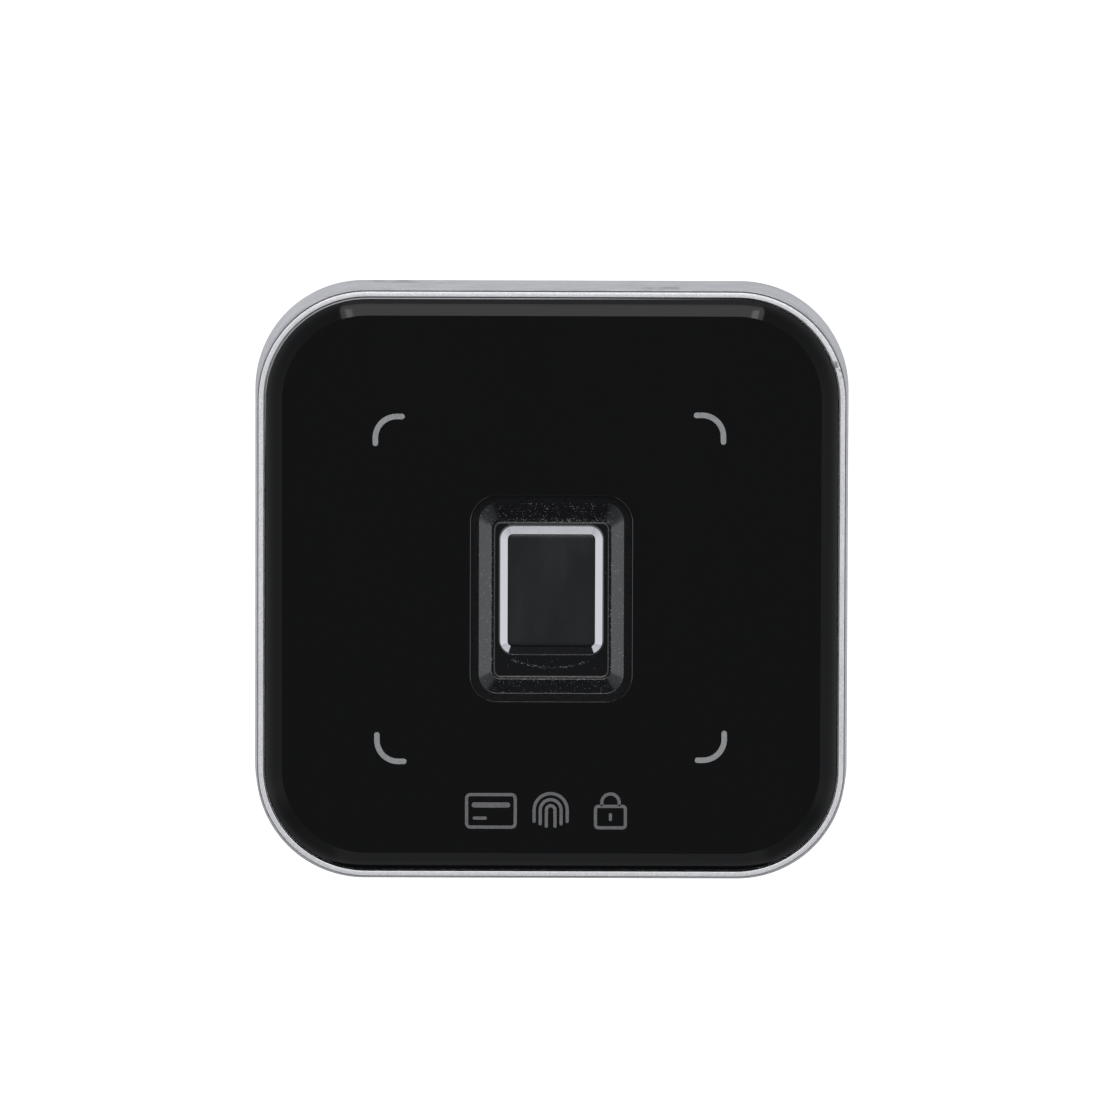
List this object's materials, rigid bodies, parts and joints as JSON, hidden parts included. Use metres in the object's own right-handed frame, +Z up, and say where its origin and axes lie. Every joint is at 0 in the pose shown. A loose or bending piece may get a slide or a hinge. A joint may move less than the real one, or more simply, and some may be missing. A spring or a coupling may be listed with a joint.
{
  "type": "fingerprint scanner terminal",
  "caption": "Square wall-mounted fingerprint and card reader: bevelled black panel in a silver housing, chrome-ringed sensor in a recess, swings off hooks on a wall plate.",
  "frame": {"origin": "centre of the wall plate's rear face, on the wall plane", "axes": "+X to the viewer's right, +Z up, the front faces -Y and +Y points into the wall"},
  "size_m": [0.086, 0.0166, 0.086],
  "materials": {
    "silver_paint": "fine metallic silver paint on moulded plastic, satin",
    "bright_trim": "brighter satin silver on the trim ring",
    "black_glass": "polished black cover panel, opaque",
    "black_moulding": "fine-textured black moulding",
    "chrome": "bright plating",
    "sensor_coating": "satin charcoal coating",
    "zinc_steel": "zinc-plated steel",
    "foam_tape": "black foam tape",
    "seal_rubber": "black silicone rubber",
    "circuit_board": "green solder mask on glass-fibre board",
    "flex_film": "amber polyimide film",
    "component_black": "black component bodies",
    "socket_plastic": "natural connector moulding",
    "terminal_plastic": "green terminal moulding",
    "clear_plastic": "frosted clear plastic",
    "plunger_plastic": "natural acetal",
    "label_film": "blank white label film"
  },
  "bodies": {
    "wall_plate": {"wall_plate": "zinc_steel"},
    "reader": {"bezel_gasket": "seal_rubber", "board_screw_lower_left": "zinc_steel", "board_screw_lower_right": "zinc_steel", "board_screw_upper_left": "zinc_steel", "board_screw_upper_right": "zinc_steel", "buzzer": "component_black", "capacitor_lower": "zinc_steel", "capacitor_upper": "zinc_steel", "card_antenna": "circuit_board", "card_reader_chip": "component_black", "case_screw_lower_left": "zinc_steel", "case_screw_lower_right": "zinc_steel", "case_screw_upper_left": "zinc_steel", "case_screw_upper_right": "zinc_steel", "crystal": "zinc_steel", "finger_guide": "black_moulding", "flash_chip": "component_black", "flex_connector": "socket_plastic", "front_bezel": "bright_trim", "glass_panel": "black_glass", "glass_tape": "foam_tape", "inductor": "component_black", "light_pipe": "clear_plastic", "line_driver": "component_black", "main_board": "circuit_board", "processor": "component_black", "rating_label": "label_film", "rear_housing": "silver_paint", "sensor_board": "circuit_board", "sensor_flex": "flex_film", "sensor_ring": "chrome", "sensor_window": "sensor_coating", "status_led": "clear_plastic", "tamper_spring": "zinc_steel", "tamper_switch": "component_black", "terminal_block": "terminal_plastic"},
    "tamper_plunger": {"tamper_plunger": "plunger_plastic"},
    "lock_screw": {"lock_screw": "zinc_steel"}
  },
  "joints": [
    {"name": "reader_swing", "type": "hinge", "parent": "wall_plate", "child": "reader", "pos_m": [0, -0.0019, 0.041], "axis": [-1, 0, 0], "range_deg": [0, 15]},
    {"name": "tamper_press", "type": "slide", "parent": "reader", "child": "tamper_plunger", "axis": [0, 1, 0], "range_m": [0, 0.0012], "stiffness_N_per_m": 150, "springref_m": 0.002, "deforming": ["tamper_spring"]},
    {"name": "lock_travel", "type": "slide", "parent": "reader", "child": "lock_screw", "axis": [0, 0, 1], "range_m": [0, 0.003]}
  ]
}
